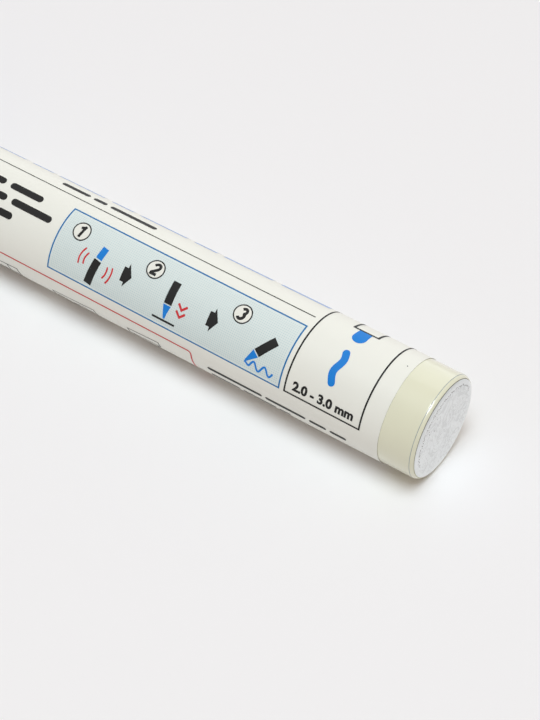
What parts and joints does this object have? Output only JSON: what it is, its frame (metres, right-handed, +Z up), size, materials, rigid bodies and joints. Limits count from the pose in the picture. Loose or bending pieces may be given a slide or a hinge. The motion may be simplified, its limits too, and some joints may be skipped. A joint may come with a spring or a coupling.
{
  "type": "paint marker",
  "caption": "Round valve-action paint marker with a printed metal barrel, bullet nib, mixing ball and a pull-off clip cap.",
  "frame": {"origin": "centre of the barrel's flat tail face, on the barrel's axis", "axes": "+X out of the tail along the barrel's axis, away from the writing tip; +Z up with the marker lying on its label; -Y is the printed side that faces the viewer"},
  "size_m": [0.138, 0.0163, 0.0146],
  "materials": {
    "can_lacquer": "cream gloss lacquer, white enamel tail",
    "label_film": "white printed film, satin",
    "stopper_plastic": "white moulded, satin",
    "colour_plastic": "blue moulded, satin gloss",
    "inner_plastic": "milky moulded",
    "valve_plastic": "natural moulded",
    "nib_fibre": "pressed fibre",
    "soft_rubber": "matt",
    "spring_steel": "drawn wire",
    "ball_steel": "ground"
  },
  "bodies": {
    "barrel": {"barrel_can": "can_lacquer", "label_sleeve": "label_film", "stopper": "stopper_plastic", "stopper_gasket": "soft_rubber", "nib_holder": "colour_plastic", "valve_seat": "soft_rubber", "valve_cage": "valve_plastic", "valve_spring": "spring_steel"},
    "nib_valve": {"nib": "nib_fibre", "valve_pin": "valve_plastic"},
    "ball": {"mixing_ball": "ball_steel"},
    "cap": {"cap_shell": "colour_plastic", "inner_cap": "inner_plastic", "cap_clip": "colour_plastic"}
  },
  "joints": [
    {"name": "cap_pull", "type": "slide", "parent": "barrel", "child": "cap", "axis": [-1, 0, 0], "range_m": [0, 0.04]},
    {"name": "nib_press", "type": "slide", "parent": "barrel", "child": "nib_valve", "axis": [1, 0, 0], "range_m": [0, 0.0018], "stiffness_N_per_m": 800, "springref_m": -0.001, "deforming": ["valve_spring"]},
    {"name": "ball_roll", "type": "slide", "parent": "barrel", "child": "ball", "axis": [1, 0, 0], "range_m": [-0.0361, 0.0196]}
  ]
}
